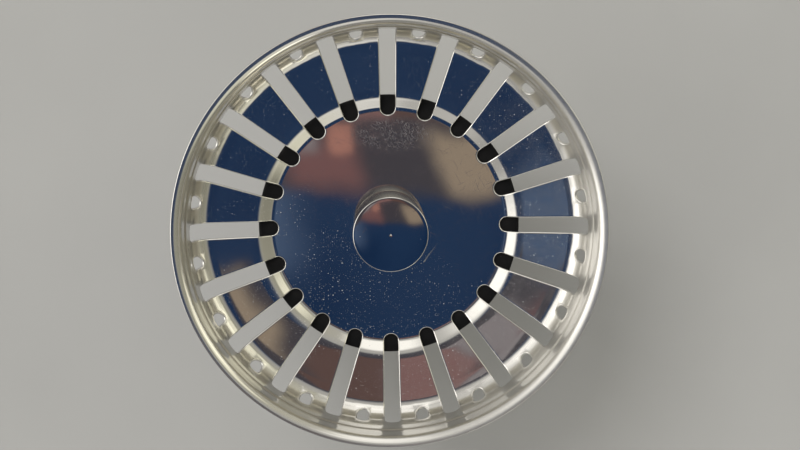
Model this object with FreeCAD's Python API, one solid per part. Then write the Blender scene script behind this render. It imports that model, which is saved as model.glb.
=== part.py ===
import FreeCAD, Part
import math
import os
from FreeCAD import Vector

os.makedirs("parts", exist_ok=True)

# A basket strainer for a kitchen sink drain: a pressed bowl with slots and holes, a knob to lift it by,
# a rubber seal under its plate, and a stem with a ball catch that holds it in the drain.
# Millimetres, +Z up along the axis, origin at the tip of the stem.

# Pressed bowl
rim_diameter = 78.8
sheet = 0.6
cup_depth = 14.0
flange_width = 1.9
flange_bend_radius = 1.0
band_height = 4.2
band_step = 0.2
wall_draft_degrees = 1.5
wall_bend_radius = 3.5
floor_slope_degrees = 8.2
plate_diameter = 45.4
plate_bend_radius = 2.5
step_run = 2.0
step_rise = 1.15
step_bend_radius = 3.6

# Drain slots and side holes
slot_count = 20
slot_phase_degrees = 1.0
slot_plate_reach = 1.3
slot_inner_width = 2.7
slot_outer_width = 3.1
slot_top_gap = 3.8
slot_corner_radius = 1.2
hole_width = 2.8
hole_height = 3.2
hole_tilt_degrees = 26.0

# Knob
knob_diameter = 14.0
knob_height = 10.8
knob_crown_rise = 0.15
knob_edge_radius = 0.3
knob_head_height = 1.0
knob_foot_height = 1.2
knob_waist_depth = 0.15
knob_cap_thickness = 1.3
thread_drill_degrees = 60.0

# O-ring in the foot of the knob
o_ring_width = 1.55
o_ring_height = 1.2
o_ring_bulge = 0.25

# Stem
thread_diameter = 8.0
thread_chamfer = 0.6
thread_end_gap = 0.5
thread_relief_depth = 0.6
thread_relief_width = 1.2
land_diameter = 10.0
land_length = 12.0
land_chamfer = 0.5
land_lead_in = 0.8
pilot_step = 0.5
pilot_length = 9.0
pilot_nose_radius = 1.6

# Ball catch across the stem
ball_diameter = 4.0
ball_reach = 0.9
ball_height_on_land = 5.6
ball_clearance = 0.05
spring_mean_diameter = 2.6
spring_wire_diameter = 0.4
spring_turns = 4
spring_seat_gap = 0.1

# Rubber seal and the steel cup that carries it
seal_diameter = 50.4
seal_thickness = 3.4
seal_lip_thickness = 1.3
seal_hub_diameter = 37.0
seal_edge_radius = 0.5
cup_diameter = 34.0
cup_sheet = 0.8
cup_turn_down = 2.2
cup_flare_run = 1.4
cup_bend_radius = 1.2

# Lock washer and clamp nut
lock_washer_width = 2.4
lock_washer_thickness = 1.8
lock_washer_split = 0.8
lock_washer_split_degrees = 30.0
nut_sides = 6
nut_across_flats = 13.0
nut_height = 5.0
nut_chamfer_degrees = 30.0
nut_face_share = 0.95
nut_standoff = 1.4

fit_clearance = 0.05
cut_overrun = 2.0

# Heights of the stack, from the tip of the stem up
axis = Vector(0, 0, 1)
origin = Vector(0, 0, 0)
shoulder_z = pilot_length + land_length
nut_z = shoulder_z + nut_standoff
lock_washer_z = nut_z + nut_height
cup_z = lock_washer_z + lock_washer_thickness
seal_z = cup_z + cup_sheet
plate_under_z = seal_z + seal_thickness
plate_z = plate_under_z + sheet
rim_z = plate_z + cup_depth
ball_z = pilot_length + ball_height_on_land

rim_radius = rim_diameter / 2
band_radius = rim_radius - flange_width
thread_radius = thread_diameter / 2
bore_radius = thread_radius + fit_clearance
land_radius = land_diameter / 2
ball_radius = ball_diameter / 2
ball_x = land_radius + ball_reach - ball_radius

# Sizes that follow the piece they fit: the slots end under the band, the thread stops short of the knob's
# crown, the ring goes round the thread and the pilot is a step smaller than the land
slot_top_drop = band_height + slot_top_gap
drill_tip_length = bore_radius / math.tan(math.radians(thread_drill_degrees))
knob_thread_depth = knob_height - knob_cap_thickness - drill_tip_length
o_ring_outer_diameter = 2 * (bore_radius + o_ring_width)
pilot_diameter = land_diameter - 2 * pilot_step


def at(r, z):
    return Vector(r, 0, z)


def line(a, b):
    return Part.LineSegment(a, b).toShape()


def arc(a, middle, b):
    return Part.Arc(a, middle, b).toShape()


# A path through corner points, each rounded by the radius given for it
def rounded_path(points, radii):
    edges = []
    start = points[0]
    for before, corner, after, radius in zip(points, points[1:], points[2:], radii[1:]):
        if radius <= 0:
            edges.append(line(start, corner))
            start = corner
            continue
        back = (before - corner).normalize()
        ahead = (after - corner).normalize()
        half_angle = back.getAngle(ahead) / 2
        reach = radius / math.tan(half_angle)
        bisector = (back + ahead).normalize()
        end = corner + back * reach
        middle = corner + bisector * (radius / math.sin(half_angle) - radius)
        leave = corner + ahead * reach
        edges.append(line(start, end))
        edges.append(arc(end, middle, leave))
        start = leave
    edges.append(line(start, points[-1]))
    return edges


# The same path on the far side of a sheet, to the right of the way it runs
def far_side(points, radii, thickness):
    ways = [(b - a).normalize() for a, b in zip(points, points[1:])]
    normals = [at(way.z, -way.x) for way in ways]
    moved = [points[0] + normals[0] * thickness]
    moved_radii = [0]
    for i in range(1, len(points) - 1):
        one, two = normals[i - 1], normals[i]
        moved.append(points[i] + (one + two) * (thickness / (1 + one.dot(two))))
        turn = ways[i - 1].x * ways[i].z - ways[i - 1].z * ways[i].x
        grown = radii[i] + math.copysign(thickness, turn)
        moved_radii.append(max(grown, 0) if radii[i] > 0 else 0)
    moved.append(points[-1] + normals[-1] * thickness)
    moved_radii.append(0)
    return moved, moved_radii


def turned(edges):
    face = Part.Face(Part.Wire(Part.__sortEdges__(edges)))
    return face.revolve(origin, axis, 360)


def turned_outline(points, radii=None):
    closed = points + [points[0]]
    return turned(rounded_path(closed, radii or [0] * len(closed)))


def pressed_sheet(points, radii, thickness):
    under, under_radii = far_side(points, radii, thickness)
    edges = rounded_path(points, radii) + rounded_path(under, under_radii)
    edges.append(line(points[0], under[0]))
    edges.append(line(points[-1], under[-1]))
    return turned(edges)


def spun(shape, degrees):
    copy = shape.copy()
    copy.rotate(origin, axis, degrees)
    return copy


# Bowl: the plate, the step up to the sloping floor, the wall, the plain band and the flange
def bowl_points():
    plate_edge = at(plate_diameter / 2, plate_z)
    step_top = at(plate_edge.x + step_run, plate_z + step_rise)
    floor_slope = math.tan(math.radians(floor_slope_degrees))
    draft = math.tan(math.radians(wall_draft_degrees))
    band_foot = at(band_radius, rim_z - band_height)
    wall_top = at(band_radius - band_step, band_foot.z - band_step)
    # the wall line and the floor line meet under the wall's bend
    floor_at_wall = step_top.z + floor_slope * (wall_top.x - step_top.x)
    drop = (wall_top.z - floor_at_wall) / (1 - floor_slope * draft)
    wall_foot = at(wall_top.x - drop * draft, wall_top.z - drop)
    flange_corner = at(band_radius, rim_z)
    return [at(bore_radius, plate_z), plate_edge, step_top, wall_foot, wall_top, band_foot,
            flange_corner, at(rim_radius, rim_z)]


def wall_bend_centre():
    points = bowl_points()
    step_top, wall_foot, wall_top = points[2:5]
    back = (step_top - wall_foot).normalize()
    ahead = (wall_top - wall_foot).normalize()
    half_angle = back.getAngle(ahead) / 2
    return wall_foot + (back + ahead).normalize() * (wall_bend_radius / math.sin(half_angle))


def slot_cutter():
    end_radius = slot_inner_width / 2
    tip_x = plate_diameter / 2 - slot_plate_reach
    end_x = tip_x + end_radius
    outer_x = rim_radius + cut_overrun
    low_z = plate_under_z - cut_overrun
    top_z = rim_z - slot_top_drop
    near_left = Vector(end_x, end_radius, low_z)
    near_right = Vector(end_x, -end_radius, low_z)
    far_left = Vector(outer_x, slot_outer_width / 2, low_z)
    far_right = Vector(outer_x, -slot_outer_width / 2, low_z)
    tip = Vector(tip_x, 0, low_z)
    plan = Part.Wire([arc(near_left, tip, near_right), line(near_right, far_right),
                      line(far_right, far_left), line(far_left, near_left)])
    cutter = Part.Face(plan).extrude(axis * (top_z - low_z))
    # the upper corners, where the slot ends in the wall
    long_edges = []
    for edge in cutter.Edges:
        ends = [vertex.Point for vertex in edge.Vertexes]
        on_top = min(point.z for point in ends) > (low_z + top_z) / 2
        if on_top and len(ends) == 2 and abs(ends[0].x - ends[1].x) > end_radius:
            long_edges.append(edge)
    return cutter.makeFillet(slot_corner_radius, long_edges)


# A hole is punched square to the bend between floor and wall, and drawn tall by the pressing
def hole_cutter():
    centre = wall_bend_centre()
    tilt = math.radians(hole_tilt_degrees)
    way = at(math.cos(tilt), -math.sin(tilt))
    upward = at(math.sin(tilt), math.cos(tilt))
    start = centre + way * (wall_bend_radius - cut_overrun)
    half_width = Vector(0, hole_width / 2, 0)
    half_height = upward * (hole_height / 2)
    oval = Part.Ellipse(start + half_height, start + half_width, start).toShape()
    return Part.Face(Part.Wire([oval])).extrude(way * (cut_overrun + sheet + cut_overrun))


def make_basket():
    radii = [0, plate_bend_radius, step_bend_radius, wall_bend_radius, 0, 0, flange_bend_radius, 0]
    bowl = pressed_sheet(bowl_points(), radii, sheet)
    pitch = 360 / slot_count
    slot = slot_cutter()
    hole = hole_cutter()
    cutters = []
    for i in range(slot_count):
        cutters.append(spun(slot, 90 + slot_phase_degrees + i * pitch))
        cutters.append(spun(hole, 90 + slot_phase_degrees + (i + 1 / 2) * pitch))
    return bowl.cut(cutters)


# Knob: a nearly flat head, and a side that draws in below it down to the foot
def make_knob():
    radius = knob_diameter / 2
    foot_radius = radius - knob_waist_depth
    top_z = plate_z + knob_height
    crown_radius = radius - knob_edge_radius
    crown_z = top_z - knob_crown_rise
    sphere_radius = (crown_radius ** 2 + knob_crown_rise ** 2) / (2 * knob_crown_rise)
    crown_middle_z = top_z - sphere_radius + math.sqrt(sphere_radius ** 2 - (crown_radius / 2) ** 2)
    edge_z = crown_z - knob_edge_radius
    edge_middle = knob_edge_radius * math.sqrt(1 / 2)
    head_z = top_z - knob_head_height
    foot_z = plate_z + knob_foot_height
    edges = [
        arc(at(0, top_z), at(crown_radius / 2, crown_middle_z), at(crown_radius, crown_z)),
        arc(at(crown_radius, crown_z), at(crown_radius + edge_middle, edge_z + edge_middle),
            at(radius, edge_z)),
        line(at(radius, edge_z), at(radius, head_z)),
        line(at(radius, head_z), at(foot_radius, foot_z)),
        line(at(foot_radius, foot_z), at(foot_radius, plate_z)),
        line(at(foot_radius, plate_z), at(0, plate_z)),
        line(at(0, plate_z), at(0, top_z)),
    ]
    recess_radius = o_ring_outer_diameter / 2 + fit_clearance
    recess_z = plate_z + o_ring_height
    drill_z = plate_z + knob_thread_depth
    bore = turned_outline([
        at(0, plate_z - cut_overrun), at(recess_radius, plate_z - cut_overrun), at(recess_radius, recess_z),
        at(bore_radius, recess_z), at(bore_radius, drill_z), at(0, drill_z + drill_tip_length)])
    return turned(edges).cut(bore)


# The ring as it sits, squeezed flat between the knob and the plate
def make_o_ring():
    inner = bore_radius
    outer = o_ring_outer_diameter / 2
    low_z = plate_z
    top_z = plate_z + o_ring_height
    middle_z = (low_z + top_z) / 2
    return turned([
        line(at(inner + o_ring_bulge, low_z), at(outer - o_ring_bulge, low_z)),
        arc(at(outer - o_ring_bulge, low_z), at(outer, middle_z), at(outer - o_ring_bulge, top_z)),
        line(at(outer - o_ring_bulge, top_z), at(inner + o_ring_bulge, top_z)),
        arc(at(inner + o_ring_bulge, top_z), at(inner, middle_z), at(inner + o_ring_bulge, low_z)),
    ])


def make_stem():
    relief_radius = thread_radius - thread_relief_depth
    relief_top_z = shoulder_z + thread_relief_width
    top_z = plate_z + knob_thread_depth - thread_end_gap
    pilot_radius = pilot_diameter / 2
    points = [
        at(0, 0), at(pilot_radius, 0), at(pilot_radius, pilot_length),
        at(land_radius, pilot_length + land_lead_in),
        at(land_radius, shoulder_z - land_chamfer), at(land_radius - land_chamfer, shoulder_z),
        at(relief_radius, shoulder_z), at(relief_radius, relief_top_z),
        at(thread_radius, relief_top_z + thread_relief_depth), at(thread_radius, top_z - thread_chamfer),
        at(thread_radius - thread_chamfer, top_z), at(0, top_z)]
    radii = [0] * (len(points) + 1)
    radii[1] = pilot_nose_radius
    stem = turned_outline(points, radii)
    # the cross bore is closed in at both mouths, so that the balls can't fall out
    pocket_radius = ball_radius + ball_clearance
    bore = Part.makeCylinder(pocket_radius, 2 * ball_x, Vector(-ball_x, 0, ball_z), Vector(1, 0, 0))
    pockets = [Part.makeSphere(pocket_radius, Vector(side * ball_x, 0, ball_z)) for side in (-1, 1)]
    return stem.cut([bore.fuse(pockets)])


def make_ball(side):
    return Part.makeSphere(ball_radius, Vector(side * ball_x, 0, ball_z))


# Two arcs that leave the first point along its tangent and reach the second along its own
def biarc(a, a_way, b, b_way):
    chord = b - a
    ways = a_way + b_way
    spread = 2 * (1 - a_way.dot(b_way))
    along = chord.dot(ways)
    reach = (math.sqrt(along ** 2 + spread * chord.dot(chord)) - along) / spread
    a_control = a + a_way * reach
    b_control = b - b_way * reach
    joint = (a_control + b_control) / 2
    edges = []
    for start, control, end in ((a, a_control, joint), (joint, b_control, b)):
        middle = (start + end) / 2
        half_chord = (end - start).Length / 2
        rise = control - middle
        half_turn = math.atan2(rise.Length, half_chord)
        crest = middle + rise.normalize() * (half_chord * math.tan(half_turn / 2))
        edges.append(arc(start, crest, end))
    return edges


# An open coil along X, with its end turns against the two balls
def make_spring():
    radius = spring_mean_diameter / 2
    touch = ball_radius + spring_wire_diameter / 2 + spring_seat_gap
    end_x = ball_x - math.sqrt(touch ** 2 - radius ** 2)
    pitch = 2 * end_x / spring_turns
    halves = 2 * spring_turns

    def place(turn):
        angle = 2 * math.pi * turn
        return Vector(pitch * turn - end_x, radius * math.cos(angle), ball_z + radius * math.sin(angle))

    def way(turn):
        angle = 2 * math.pi * turn
        round_way = 2 * math.pi * radius
        return Vector(pitch, -round_way * math.sin(angle), round_way * math.cos(angle)).normalize()

    edges = []
    for i in range(halves):
        edges += biarc(place(i / 2), way(i / 2), place((i + 1) / 2), way((i + 1) / 2))
    section = Part.Circle(place(0), way(0), spring_wire_diameter / 2).toShape()
    # points along the coil, each set against those half a turn or more further on
    steps = 24
    points = [place(i / steps) for i in range(steps * spring_turns + 1)]
    gaps = [(a - b).Length for i, a in enumerate(points) for b in points[i + steps // 2:]]
    print("least gap of the coil to itself: %.2f mm" % (min(gaps) - spring_wire_diameter))
    return Part.Wire(edges).makePipeShell([Part.Wire([section])], True, False)


# Seal: flat on top, with a lip that thins towards its edge
def make_seal():
    radius = seal_diameter / 2
    lip_z = plate_under_z - seal_lip_thickness
    points = [at(bore_radius, plate_under_z), at(radius, plate_under_z), at(radius, lip_z),
              at(seal_hub_diameter / 2, seal_z), at(bore_radius, seal_z)]
    radii = [0, seal_edge_radius, seal_edge_radius, 0, 0, 0]
    return turned_outline(points, radii)


# Cup: a washer flat against the seal, flared down at its edge so that it can't cut the rubber
def make_cup():
    radius = cup_diameter / 2
    points = [at(bore_radius, seal_z), at(radius - cup_flare_run, seal_z), at(radius, seal_z - cup_turn_down)]
    return pressed_sheet(points, [0, cup_bend_radius + cup_sheet, 0], cup_sheet)


def make_lock_washer():
    outer = bore_radius + lock_washer_width
    ring = turned_outline([at(bore_radius, lock_washer_z), at(outer, lock_washer_z),
                           at(outer, cup_z), at(bore_radius, cup_z)])
    length = outer + cut_overrun
    height = 2 * (lock_washer_thickness + cut_overrun)
    middle_z = (lock_washer_z + cup_z) / 2
    split = Part.makeBox(length, lock_washer_split, height,
                         Vector(0, -lock_washer_split / 2, middle_z - height / 2))
    split.rotate(Vector(0, 0, middle_z), Vector(1, 0, 0), lock_washer_split_degrees)
    return ring.cut([split])


def make_nut():
    flat = nut_across_flats / 2
    corner = flat / math.cos(math.pi / nut_sides)
    top_z = nut_z + nut_height
    turns = [2 * math.pi * i / nut_sides for i in range(nut_sides)]
    corners = [Vector(corner * math.cos(turn), corner * math.sin(turn), nut_z) for turn in turns]
    prism = Part.Face(Part.makePolygon(corners + [corners[0]])).extrude(axis * nut_height)
    face = flat * nut_face_share
    fall = (corner - face) * math.tan(math.radians(nut_chamfer_degrees))
    barrel = turned_outline([at(bore_radius, nut_z), at(face, nut_z), at(corner, nut_z + fall),
                             at(corner, top_z - fall), at(face, top_z), at(bore_radius, top_z)])
    return prism.common(barrel)


pieces = {
    "strainer_basket": make_basket(),
    "knob": make_knob(),
    "knob_o_ring": make_o_ring(),
    "stem": make_stem(),
    "rubber_seal": make_seal(),
    "seal_cup": make_cup(),
    "lock_washer": make_lock_washer(),
    "clamp_nut": make_nut(),
    "catch_spring": make_spring(),
    "catch_ball_left": make_ball(-1),
    "catch_ball_right": make_ball(1),
}
for name, shape in pieces.items():
    shape.exportStep("parts/%s.step" % name)
    print(name, "solids", len(shape.Solids), "valid", shape.isValid(), "volume %.1f" % shape.Volume)
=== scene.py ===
import bpy
import bmesh
import math
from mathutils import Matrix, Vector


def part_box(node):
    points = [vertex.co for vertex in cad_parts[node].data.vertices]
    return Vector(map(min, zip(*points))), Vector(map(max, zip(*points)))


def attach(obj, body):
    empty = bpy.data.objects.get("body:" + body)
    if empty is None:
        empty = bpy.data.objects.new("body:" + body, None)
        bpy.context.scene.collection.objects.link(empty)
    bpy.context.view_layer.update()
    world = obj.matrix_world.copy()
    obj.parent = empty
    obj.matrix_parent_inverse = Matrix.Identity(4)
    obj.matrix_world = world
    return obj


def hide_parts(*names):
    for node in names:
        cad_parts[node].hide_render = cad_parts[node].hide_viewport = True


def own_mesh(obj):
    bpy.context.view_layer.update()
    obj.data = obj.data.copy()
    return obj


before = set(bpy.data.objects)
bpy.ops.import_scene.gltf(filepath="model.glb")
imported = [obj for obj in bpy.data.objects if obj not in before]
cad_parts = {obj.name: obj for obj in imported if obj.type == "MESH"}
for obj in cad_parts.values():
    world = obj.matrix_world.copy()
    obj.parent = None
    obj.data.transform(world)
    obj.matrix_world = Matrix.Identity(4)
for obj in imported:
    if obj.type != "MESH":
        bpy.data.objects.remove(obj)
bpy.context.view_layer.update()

mm = 0.001  # the dictionaries below are in millimetres and degrees


# Heights that the pieces share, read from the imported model
def lowest(node):
    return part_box(node)[0].z / mm


def highest(node):
    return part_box(node)[1].z / mm


def reach(node):
    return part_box(node)[1].x / mm


rimZ = highest("strainer_basket")
rimRadius = reach("strainer_basket")
plateZ = lowest("knob")
sealZ = lowest("rubber_seal")
sealTopZ = highest("rubber_seal")
nutZ = lowest("clamp_nut")
nutTopZ = highest("clamp_nut")
washerZ = lowest("lock_washer")
washerTopZ = highest("lock_washer")
cupTopZ = highest("seal_cup")
knobTopZ = highest("knob")


# Modelling helpers
def deselectAll():
    if bpy.context.object and bpy.context.object.mode == "EDIT":
        bpy.ops.object.mode_set(mode="OBJECT")
    bpy.ops.object.select_all(action="DESELECT")


def pickPiece(piece):
    deselectAll()
    piece.select_set(True)
    bpy.context.view_layer.objects.active = piece


def openPiece(name):
    piece = bpy.context.object
    piece.name = name
    piece.data.name = name
    bpy.ops.object.mode_set(mode="EDIT")
    bpy.ops.mesh.select_mode(type="VERT")
    return piece


def closePiece():
    bpy.ops.object.mode_set(mode="OBJECT")
    bpy.ops.object.transform_apply(location=True, rotation=True, scale=True)


def selectNone(kind):
    bpy.ops.mesh.select_mode(type=kind)
    bpy.ops.mesh.select_all(action="DESELECT")


def faceOutward(mergeWithin=0.0):
    bpy.ops.mesh.select_all(action="SELECT")
    if mergeWithin:
        bpy.ops.mesh.remove_doubles(threshold=mergeWithin * mm)
    bpy.ops.mesh.normals_make_consistent(inside=False)
    closePiece()


def useModifier(piece, kind, **settings):
    bpy.ops.object.modifier_add(type=kind)
    modifier = piece.modifiers[-1]
    for name, value in settings.items():
        setattr(modifier, name, value)
    bpy.ops.object.modifier_apply(modifier=modifier.name)


def softenEdges(piece, width, segments, above, material=-1):
    useModifier(piece, "BEVEL", width=width * mm, segments=segments, limit_method="ANGLE",
                angle_limit=math.radians(above), use_clamp_overlap=False, material=material)


def combine(piece, operation, tool):
    pickPiece(piece)
    useModifier(piece, "BOOLEAN", operation=operation, object=tool, solver="EXACT")
    bpy.data.objects.remove(tool)


def dressPiece(piece, body, nodes, materials, smoothBelow):
    pickPiece(piece)
    bpy.ops.object.shade_smooth_by_angle(angle=math.radians(smoothBelow))
    piece.data.materials.clear()
    for material in materials:
        piece.data.materials.append(material)
    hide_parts(*nodes)
    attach(piece, body)
    triangles = sum(len(face.vertices) - 2 for face in piece.data.polygons)
    print("piece", piece.name, "-", triangles, "triangles")


# A line through corners (r, z, radius) with each corner rounded; gives (length so far, r, z)
def roundedLine(corners, arcStep):
    track = [(0.0, corners[0][0], corners[0][1])]

    def goTo(r, z, length=None):
        s, lastR, lastZ = track[-1]
        length = math.hypot(r - lastR, z - lastZ) if length is None else length
        if length > 1e-6:
            track.append((s + length, r, z))

    for before, corner, after in zip(corners, corners[1:], corners[2:]):
        inWay = (corner[0] - before[0], corner[1] - before[1])
        outWay = (after[0] - corner[0], after[1] - corner[1])
        inAngle = math.atan2(inWay[1], inWay[0])
        turn = math.atan2(outWay[1], outWay[0]) - inAngle
        turn = (turn + math.pi) % (2 * math.pi) - math.pi
        radius = corner[2]
        if radius <= 0 or abs(turn) < 1e-4:
            goTo(corner[0], corner[1])
            continue
        back = radius * math.tan(abs(turn) / 2)
        startR = corner[0] - back * math.cos(inAngle)
        startZ = corner[1] - back * math.sin(inAngle)
        goTo(startR, startZ)
        side = math.copysign(1, turn)
        centreR = startR - side * radius * math.sin(inAngle)
        centreZ = startZ + side * radius * math.cos(inAngle)
        steps = max(2, round(math.degrees(abs(turn)) / arcStep))
        for step in range(1, steps + 1):
            angle = inAngle + turn * step / steps
            goTo(centreR + side * radius * math.sin(angle), centreZ - side * radius * math.cos(angle),
                 radius * abs(turn) / steps)
    goTo(corners[-1][0], corners[-1][1])
    return track


# A half section drawn point by point from one vertex, then spun round the axis
def spinPiece(name, corners, steps, arcStep):
    outline = [(r, z) for s, r, z in roundedLine(corners, arcStep)]
    deselectAll()
    bpy.ops.mesh.primitive_plane_add(size=mm, location=(outline[0][0] * mm, 0, outline[0][1] * mm))
    piece = openPiece(name)
    bpy.ops.mesh.merge(type="CENTER")
    for before, after in zip(outline, outline[1:]):
        step = ((after[0] - before[0]) * mm, 0, (after[1] - before[1]) * mm)
        bpy.ops.mesh.extrude_vertices_move(TRANSFORM_OT_translate={"value": step})
    bpy.ops.mesh.select_all(action="SELECT")
    bpy.ops.mesh.spin(steps=steps, angle=2 * math.pi, center=(0, 0, 0), axis=(0, 0, 1))
    faceOutward(0.002)
    return piece


# Shader maths: a socket that can stand in a Python sum
class Wire:
    def __init__(self, finish, socket):
        self.finish = finish
        self.socket = socket

    def maths(self, operation, *others):
        inputs = {place: value for place, value in enumerate((self,) + others)}
        return self.finish.node("Math", {"operation": operation}, inputs)["Value"]

    def swapped(self, operation, other):
        return self.finish.node("Math", {"operation": operation}, {0: other, 1: self})["Value"]

    def __add__(self, other):
        return self.maths("ADD", other)

    __radd__ = __add__

    def __sub__(self, other):
        return self.maths("SUBTRACT", other)

    def __rsub__(self, other):
        return self.swapped("SUBTRACT", other)

    def __mul__(self, other):
        return self.maths("MULTIPLY", other)

    __rmul__ = __mul__

    def __truediv__(self, other):
        return self.maths("DIVIDE", other)

    def __rtruediv__(self, other):
        return self.swapped("DIVIDE", other)

    def __pow__(self, other):
        return self.maths("POWER", other)

    # 0 below the first value and 1 above the second, with a soft rise; the values may run either way
    def rise(self, start, end):
        flip = start > end
        low, high = min(start, end), max(start, end)
        inputs = {"Value": self, "From Min": low, "From Max": high,
                  "To Min": 1.0 if flip else 0.0, "To Max": 0.0 if flip else 1.0}
        return self.finish.node("MapRange", {"interpolation_type": "SMOOTHSTEP"}, inputs)["Result"]


# The nodes of one material or of the world
class Finish:
    def __init__(self, tree):
        self.tree = tree
        tree.nodes.clear()

    def node(self, kind, settings, inputs):
        made = self.tree.nodes.new("ShaderNode" + kind)
        for name, value in settings.items():
            setattr(made, name, value)
        for name, value in inputs.items():
            socket = made.inputs[name]
            if isinstance(value, Wire):
                self.tree.links.new(value.socket, socket)
            else:
                socket.default_value = value
        return {socket.name: Wire(self, socket) for socket in reversed(made.outputs) if socket.enabled}

    def place(self):
        return self.node("TexCoord", {}, {})["Object"]

    def split(self, vector):
        parts = self.node("SeparateXYZ", {}, {"Vector": vector})
        return parts["X"], parts["Y"], parts["Z"]

    def noise(self, vector, scale, detail=2.0, roughness=0.5):
        return self.node("TexNoise", {}, {"Vector": vector, "Scale": scale, "Detail": detail,
                                          "Roughness": roughness})["Fac"]

    def noiseAlong(self, value, scale, detail=2.0):
        return self.node("TexNoise", {"noise_dimensions": "1D"},
                         {"W": value, "Scale": scale, "Detail": detail})["Fac"]

    def stretched(self, vector, turn, scale):
        return self.node("Mapping", {"vector_type": "TEXTURE"},
                         {"Vector": vector, "Rotation": (0, 0, math.radians(turn)),
                          "Scale": tuple(1 / part for part in scale)})["Vector"]

    def mixColour(self, share, first, second):
        return self.node("Mix", {"data_type": "RGBA"}, {0: share, 6: first, 7: second})["Result"]

    def bump(self, height):
        return self.node("Bump", {}, {"Height": height, "Distance": 1.0, "Strength": 1.0})["Normal"]

    def metal(self, base, roughness, normal, metallic=1.0):
        inputs = {"Base Color": base, "Metallic": metallic, "Roughness": roughness, "Normal": normal}
        return self.node("BsdfPrincipled", {}, inputs)["BSDF"]

    # short thin scratches in a few directions
    def scratches(self, vector, turns, length, width, least):
        stretch = (1 / (length * mm), 1 / (width * mm), 1 / (length * mm))
        total = 0.0
        for turn in turns:
            drawnOut = self.stretched(vector, turn, stretch)
            total = self.noise(drawnOut, 1.0, detail=1.0).rise(least, least + 0.03) + total
        return total.maths("MINIMUM", 1.0)

    # round specks: a few of the cells hold one, each of its own size
    def specks(self, vector, spacing, size, share, lie="3D"):
        spacing, size = spacing * mm, size * mm
        cells = self.node("TexVoronoi", {"voronoi_dimensions": lie},
                          {"Vector": vector, "Scale": 1 / spacing})
        red, green, blue = self.split(cells["Color"])
        reachOut = size / spacing * (0.3 + 0.7 * green * green)
        inside = (cells["Distance"] / reachOut).rise(1.0, 0.7)
        return inside * red.rise(1 - share, 1 - share + 0.01)


def newMaterial(name, make):
    material = bpy.data.materials.new(name)
    material.use_nodes = True
    finish = Finish(material.node_tree)
    shader = make(finish)
    finish.node("OutputMaterial", {}, {"Surface": shader})
    print("material", name)
    return material


def colour(red, green, blue):
    return (red, green, blue, 1.0)


# Bright pressed sheet, with wear from use: haze, scratches and dust, and a dark line painted along the
# crease as shade
sheetLook = {
    "steel": colour(0.70, 0.69, 0.665),
    "haze": colour(0.66, 0.65, 0.63),
    # the next colour is painted shade, laid along the crease under the band
    "creaseShade": colour(0.20, 0.17, 0.13),
    "dust": colour(0.54, 0.54, 0.53),
    "roughness": 0.025, "hazeRoughness": 0.46,
    "plateHaze": 0.02, "floorHaze": 0.03, "wornHaze": 0.12, "wallHaze": 0.38, "wallWorn": 0.4,
    "flangeHaze": 0.14, "flangeWorn": 0.5,
    "waveHeight": 0.015, "waveScale": 75.0, "patchScale": 160.0, "mottleScale": 420.0,
    "lineHeight": 0.002, "lineScale": 3600.0, "scratchDepth": 0.0006, "dustHeight": 0.01,
    "scratches": {"turns": (17, 49, 118, 151), "length": 4, "width": 0.1, "least": 0.77},
    "swirls": {"turns": (25, 71, 119, 164), "length": 3, "width": 0.1, "least": 0.72},
    "rubMarks": {"turns": (68, 121, 37, 152, 98), "length": 1.3, "width": 0.12, "least": 0.655},
    "coarseDust": {"spacing": 0.9, "size": 0.1, "share": 0.22, "lie": "2D"},
    "fineDust": {"spacing": 0.42, "size": 0.05, "share": 0.26, "lie": "2D"},
    "rubEast": 0.5, "rubNorth": 17.6, "rubWide": 9.0, "rubTall": 3.8,
    "nickEast": 6.6, "nickNorth": -7.2, "nickTurn": 57.0, "nickLength": 5.4, "nickBow": 12.0,
    "creaseBelow": 4.3, "creaseHalf": 0.28, "drawnBelow": (6.6, 7.6),
}
# Where each part of the sheet begins or ends, between two radii
sheetZones = {
    "plate": (23.0, 21.5), "drawn": (34.0, 35.5), "dusty": (35.0, 34.0), "wall": (34.8, 36.2),
    "crease": (36.0, 36.8), "flange": (37.75, 38.2),
}


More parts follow.
